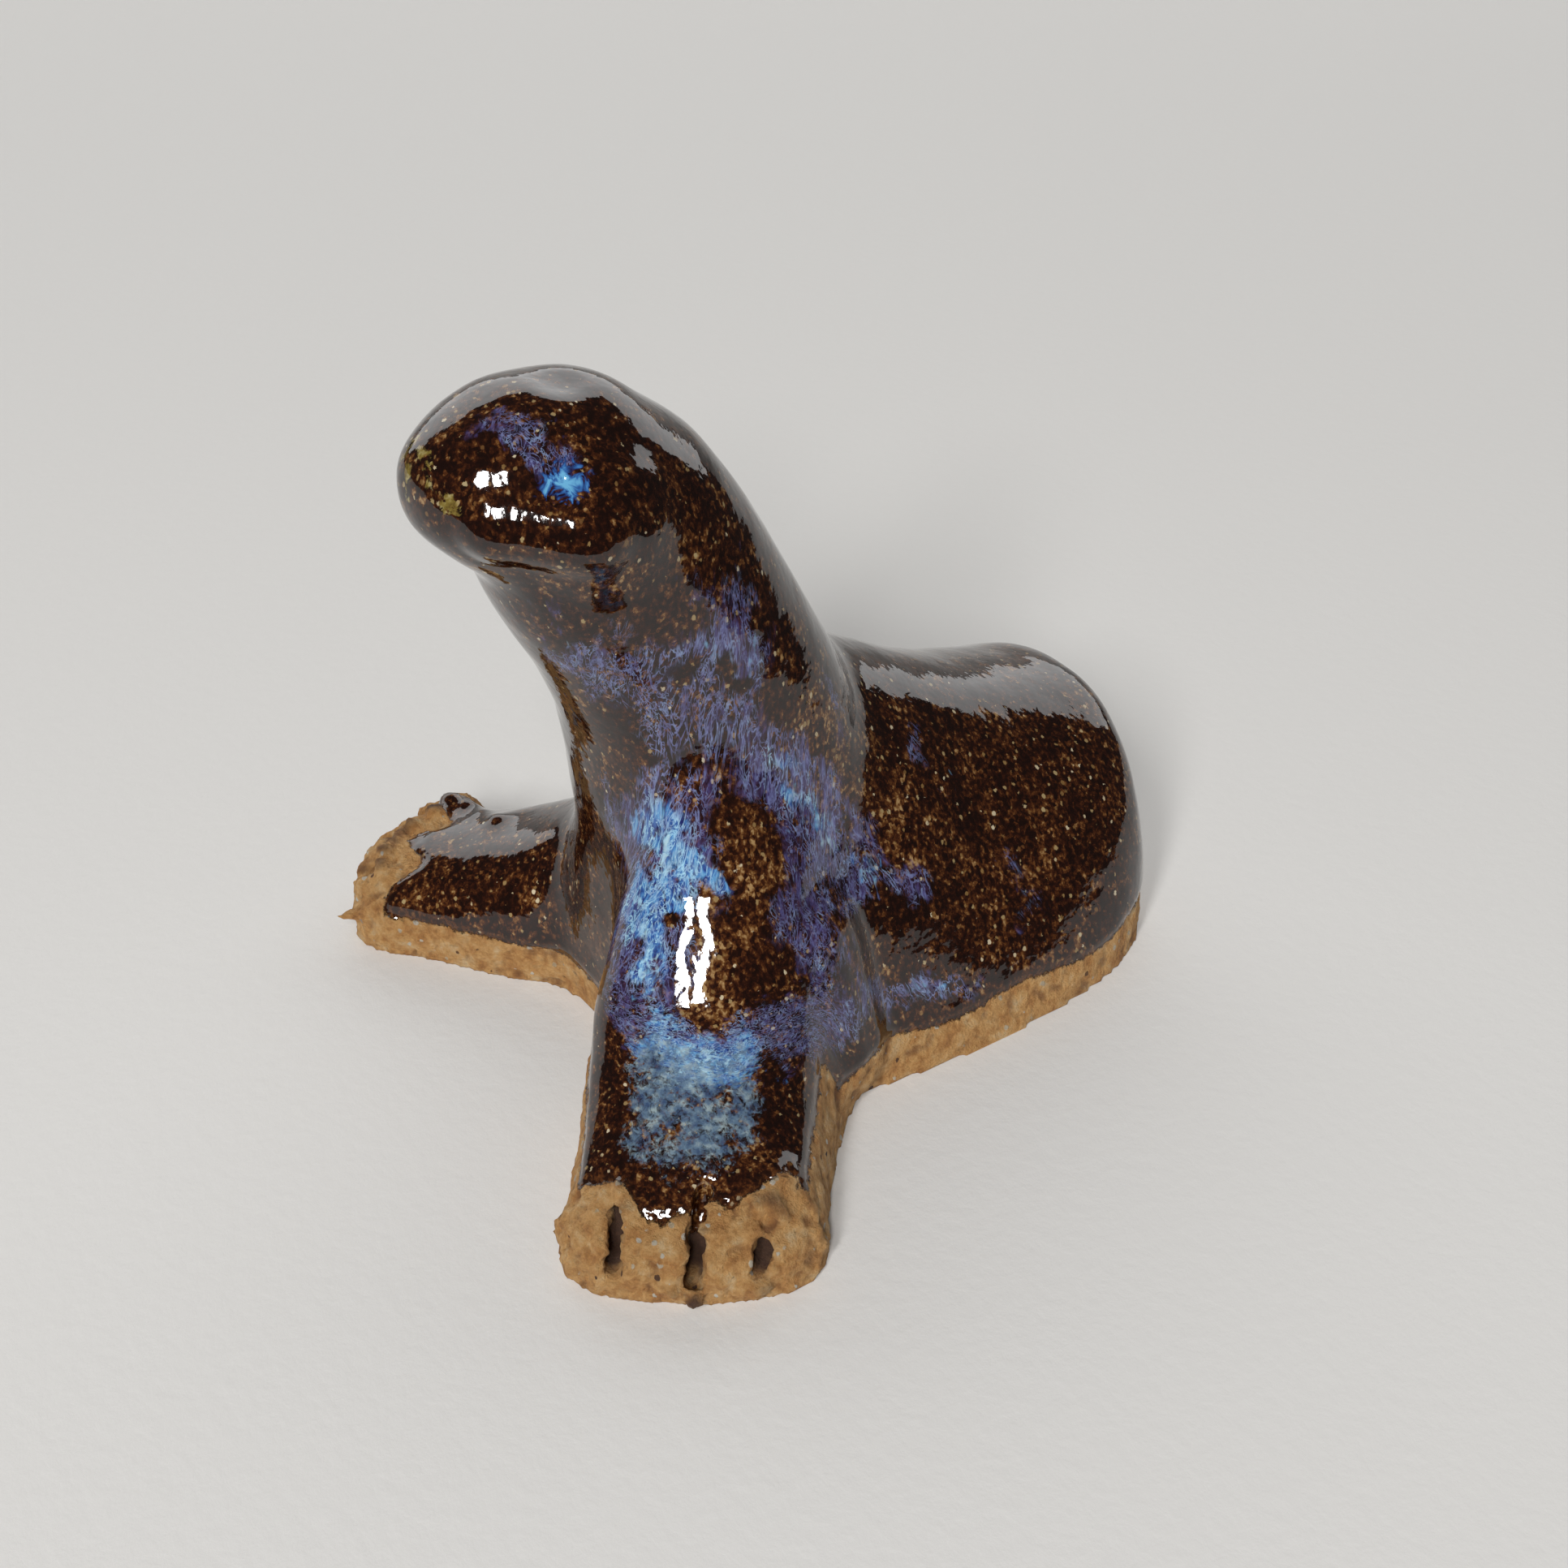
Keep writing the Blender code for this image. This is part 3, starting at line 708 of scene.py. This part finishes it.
# specks of pale grog that show through, thick in the warm patches
speck_far, speck_chance, speck_tone = grains(mild, 1.9)
speck_room = sum_of(speck_chance, swing(warm, 1.1))
speck_size = ease(speck_room, 0.52, 1.10, 0.0, 0.42)
speck_edge = sum_of(speck_far, product(cloud(here, 5.0, 2), 0.22))
speck_share = ease(sum_of(difference(speck_size, speck_edge), 0.11), 0.0, 0.10)
speck_colour = shades(speck_tone, (
    (0.0, (0.10, 0.04, 0.012)),
    (0.45, (0.22, 0.13, 0.045)),
    (0.8, (0.36, 0.27, 0.13)),
    (1.0, (0.60, 0.52, 0.36)),
))
ground = blend(product(speck_share, 0.85), brown, speck_colour)

# thin broken glaze on the snout, yellow and tan between dark wrinkles
wrinkle = cloud(here, 0.8, 5, 0.65, 1.2)
snout_share = ease(sum_of(read("snout"), swing(wrinkle, 3.2)), 0.45, 0.8)
snout_share = product(snout_share, ease(read("snout"), 0.05, 0.4))
snout_colour = shades(cloud(here, 1.3, 4, 0.6), (
    (0.35, (0.09, 0.055, 0.012)),
    (0.5, (0.22, 0.16, 0.035)),
    (0.65, (0.42, 0.36, 0.17)),
))
ground = blend(product(snout_share, 0.85), ground, snout_colour)


def strands(where, scale, bend, thin, detail=3):
    """Thin curling lines: 1 on each line, 0 between them."""
    level = difference(cloud(where, scale, detail, 0.55, bend), 0.5)
    return ease(worked_out("ABSOLUTE", level), thin, 0.0)


# the thin violet veil, torn so that brown shows through it, with whole gaps where it ran apart
gaps = ease(cloud(run, 0.30, 4, 0.62, 1.0), 0.42, 0.54, 0.15, 1.0)
gaps = worked_out("MAXIMUM", gaps, read("cyan"))
tear_up = swing(cloud(run, 0.55, 5, 0.62, 1.2), 3.6)
veil = product(ease(sum_of(read("violet"), tear_up), 0.45, 1.10), gaps)
veil = product(veil, ease(read("violet"), 0.03, 0.25))
veil_colour = shades(cloud(run, 1.1, 4, 0.58, 1.3), (
    (0.36, (0.018, 0.007, 0.014)),
    (0.47, (0.040, 0.022, 0.060)),
    (0.58, (0.065, 0.055, 0.170)),
    (0.72, (0.150, 0.160, 0.380)),
))
colour = blend(product(veil, 0.8), ground, veil_colour)

# cyan hearts of the flows
stir = swing(cloud(run, 0.8, 5, 0.60, 1.3), 3.0)
cyan_share = ease(sum_of(read("cyan"), stir), 0.35, 1.05)
cyan_share = product(cyan_share, ease(read("cyan"), 0.02, 0.2))
cyan_colour = shades(cloud(run, 1.0, 4, 0.60, 1.6), (
    (0.34, (0.012, 0.020, 0.12)),
    (0.46, (0.035, 0.11, 0.34)),
    (0.58, (0.10, 0.29, 0.55)),
    (0.74, (0.30, 0.55, 0.68)),
))
colour = blend(product(cyan_share, 0.9), colour, cyan_colour)

# the hairs: frayed along their length, violet to pale blue
fray = swing(cloud(run, 1.3, 3, 0.55, 1.2), 2.6)
hair_share = product(ease(sum_of(read("hair"), fray), 0.65, 1.25), gaps)
hair_share = product(hair_share, ease(read("hair"), 0.05, 0.3))
hair_colour = shades(sum_of(read("hair_pale"), product(fray, 0.22)), (
    (0.10, (0.035, 0.024, 0.080)),
    (0.40, (0.078, 0.080, 0.215)),
    (0.65, (0.140, 0.185, 0.370)),
    (0.90, (0.180, 0.370, 0.540)),
    (1.0, (0.420, 0.620, 0.700)),
))
colour = blend(product(hair_share, 0.88), colour, hair_colour)

# fine pale lines within the flows, along the way they ran
moved = put(tree, "ShaderNodeVectorMath", {0: run, 1: (31, 7, 13)}).outputs[0]
broad_lines = strands(run, 0.55, 2.2, 0.035)
fine_lines = strands(moved, 0.95, 2.4, 0.045)
line_room = sum_of(read("violet"), product(read("hair"), 0.6))
line_room = sum_of(line_room, swing(cloud(moved, 0.6, 3), 2.0))
line_share = product(ease(line_room, 0.42, 1.0), ease(read("violet"), 0.05, 0.3))
line_share = product(worked_out("MAXIMUM", broad_lines, product(fine_lines, 0.8)), line_share)
line_tone = sum_of(difference(cloud(run, 1.1, 3), 0.1), product(read("cyan"), 0.35))
line_colour = shades(line_tone, (
    (0.20, (0.075, 0.070, 0.190)),
    (0.42, (0.165, 0.190, 0.370)),
    (0.62, (0.250, 0.350, 0.530)),
    (0.85, (0.380, 0.640, 0.780)),
))
colour = blend(product(line_share, 0.85), colour, line_colour)

# the blue star in each eye pit
star = sum_of(read("eyes"), swing(cloud(here, 0.9, 3, 0.6, 1.2), 2.4))
star_colour = shades(star, (
    (0.40, (0.010, 0.015, 0.09)),
    (0.62, (0.035, 0.13, 0.36)),
    (0.90, (0.13, 0.38, 0.60)),
))
star_share = product(ease(star, 0.28, 0.50), ease(read("eyes"), 0.06, 0.3))
colour = blend(star_share, colour, star_colour)

# curdled frost on the foot
curl = strands(here, 0.75, 1.2, 0.07, 4)
flake = cloud(here, 1.7, 5, 0.72, 0.6)
frost_level = swing(flake, 2.2)
frost_level = sum_of(sum_of(frost_level, product(curl, 0.22)), read("frost"))
frost_share = ease(frost_level, 0.55, 1.15)
frost_share = product(frost_share, ease(read("frost"), 0.04, 0.4))
frost_colour = shades(cloud(here, 1.1, 4), (
    (0.34, (0.045, 0.080, 0.16)),
    (0.5, (0.12, 0.19, 0.27)),
    (0.66, (0.30, 0.38, 0.40)),
))
colour = blend(product(frost_share, 0.88), colour, frost_colour)

# bare clay
edge = sum_of(read("bare"), swing(cloud(here, 1.8, 4, 0.7), 1.2))
bare_share = ease(edge, -0.10, 0.14)
clay_mottle = cloud(here, 0.6, 6, 0.72)
clay_colour = shades(clay_mottle, (
    (0.30, (0.38, 0.15, 0.034)),
    (0.42, (0.60, 0.28, 0.075)),
    (0.54, (0.76, 0.42, 0.145)),
    (0.70, (0.84, 0.60, 0.32)),
))
grog_far, grog_chance, grog_tone = grains(here, 1.15)
grog_size = ease(grog_chance, 0.5, 1.0, 0.0, 0.34)
grog_edge = sum_of(grog_far, product(cloud(here, 4.0, 2), 0.25))
grog_share = ease(sum_of(difference(grog_size, grog_edge), 0.12), 0.0, 0.08)
grog_colour = shades(grog_tone, (
    (0.0, (0.60, 0.44, 0.26)),
    (0.72, (0.80, 0.74, 0.62)),
    (0.80, (0.20, 0.08, 0.02)),
    (1.0, (0.05, 0.016, 0.008)),
))
clay_colour = blend(grog_share, clay_colour, grog_colour)
# Pits in the torn clay are painted darker brown: painted shade in the hollows.
painted_pit_shade = ease(read("torn"), -0.02, -0.42)
clay_colour = blend(product(painted_pit_shade, 0.85), clay_colour, (0.24, 0.090, 0.022, 1))
# The slits are painted near-black brown by their depth: painted shade down in them.
clay_colour = blend(product(read("slit"), 0.95), clay_colour, (0.055, 0.013, 0.003, 1))
near_edge = ease(edge, -1.2, -0.1)
thin_glaze = blend(ease(fine_mottle, 0.42, 0.62), (0.022, 0.007, 0.003, 1), (0.10, 0.035, 0.010, 1))
colour = blend(product(near_edge, 0.7), colour, thin_glaze)
colour = blend(bare_share, colour, clay_colour)
tree.links.new(colour, shader.inputs["Base Color"])
tree.links.new(between(bare_share, GLAZE_ROUGH, CLAY_ROUGH), shader.inputs["Roughness"])
shader.inputs["IOR"].default_value = GLAZE_IOR

# relief, in mm
skin = product(cloud(here, 0.55, 2, 0.5), 0.065)
skin = sum_of(skin, product(cloud(here, 1.7, 2, 0.5), 0.010))
tear = sum_of(cloud(here, 1.6, 7, 0.75), product(grog_share, 0.06))
relief = between(bare_share, skin, tear)
bump = put(tree, "ShaderNodeBump", {"Strength": 1.0, "Distance": MM, "Height": relief})
tree.links.new(bump.outputs["Normal"], shader.inputs["Normal"])

clay.materials.clear()
clay.materials.append(glaze)
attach(seal, "root")
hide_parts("seal")

# ---- Paper
# The seal stands on a sheet of plain pale paper. It lies flat and turns up behind the seal, and
# its right edge runs outward by PAPER_SLANT for each metre back. Sizes are in metres, with left,
# right, front and back as the camera sees them.
PAPER_LEFT = -0.62
PAPER_RIGHT = 0.12
PAPER_SLANT = 0.8
PAPER_FRONT = -0.10
PAPER_BACK = 0.62
PAPER_BEND = 0.10
PAPER_TOP = 0.17
BEND_STEPS = 12
back_way = Vector((look.x, look.y, 0)).normalized()
right_way = Vector((back_way.y, -back_way.x, 0))
profile = [(PAPER_FRONT, 0), (0, 0), (PAPER_BACK / 2, 0), (PAPER_BACK, 0)]
for i in range(1, BEND_STEPS + 1):
    angle = math.pi / 2 * i / BEND_STEPS
    profile.append((PAPER_BACK + PAPER_BEND * math.sin(angle), PAPER_BEND * (1 - math.cos(angle))))
profile.append((PAPER_BACK + PAPER_BEND, PAPER_TOP))
sheet = bmesh.new()
rows = []
for out, up in profile:
    rows.append([sheet.verts.new(back_way * out + right_way * side + Vector((0, 0, up)))
                 for side in (PAPER_LEFT, PAPER_RIGHT + PAPER_SLANT * max(out, 0))])
for first, second in zip(rows, rows[1:]):
    sheet.faces.new((first[0], first[1], second[1], second[0]))
bmesh.ops.recalc_face_normals(sheet, faces=sheet.faces)
paper_mesh = bpy.data.meshes.new("paper")
sheet.to_mesh(paper_mesh)
sheet.free()
paper_mesh.shade_smooth()
paper = bpy.data.objects.new("paper", paper_mesh)
scene.collection.objects.link(paper)
pale = bpy.data.materials.new("pale_paper")
pale.use_nodes = True
tree = pale.node_tree
shader = tree.nodes["Principled BSDF"]
shader.inputs["Base Color"].default_value = (0.74, 0.725, 0.70, 1)
shader.inputs["Roughness"].default_value = 0.7
inside = put(tree, "ShaderNodeTexCoord", {}).outputs["Object"]
fibres = cloud(inside, 700, 4, 0.6)
bump = put(tree, "ShaderNodeBump", {"Strength": 0.6, "Distance": 0.1 * MM, "Height": fibres})
tree.links.new(bump.outputs["Normal"], shader.inputs["Normal"])
paper_mesh.materials.append(pale)

# ---- Light
# Two narrow window panes stand side by side in front of the seal and to the left, and a wide
# low window stands behind it. The rest of the room is dim. All the lamps look at LAMP_AIM.
LAMP_AIM = Vector((0.005, -0.02, 0.02))
ROOM_GLOW = 0.045


def soft_window(name, wide, high, energy, distance, turn, rise):
    """An area lamp that looks at the seal. It is turned to the right from the camera's side."""
    data = bpy.data.lights.new(name, "AREA")
    data.shape = "RECTANGLE"
    data.size = wide
    data.size_y = high
    data.energy = energy
    lamp = bpy.data.objects.new(name, data)
    turn = math.radians(turn)
    rise = math.radians(rise)
    toward = (right_way * math.sin(turn) - back_way * math.cos(turn)) * math.cos(rise)
    toward += Vector((0, 0, math.sin(rise)))
    lamp.location = LAMP_AIM + toward * distance
    lamp.rotation_euler = (-toward).to_track_quat("-Z", "Y").to_euler()
    scene.collection.objects.link(lamp)


soft_window("left_pane", 0.12, 0.36, 6.0, 1.05, -21, 35)
soft_window("right_pane", 0.12, 0.36, 6.0, 1.05, -6, 35)
soft_window("back_window", 2.2, 0.52, 6.0, 0.85, 180, 29)

room = bpy.data.worlds.new("dim_room")
room.use_nodes = True
room.node_tree.nodes["Background"].inputs["Color"].default_value = (ROOM_GLOW, ROOM_GLOW, ROOM_GLOW, 1)
scene.world = room
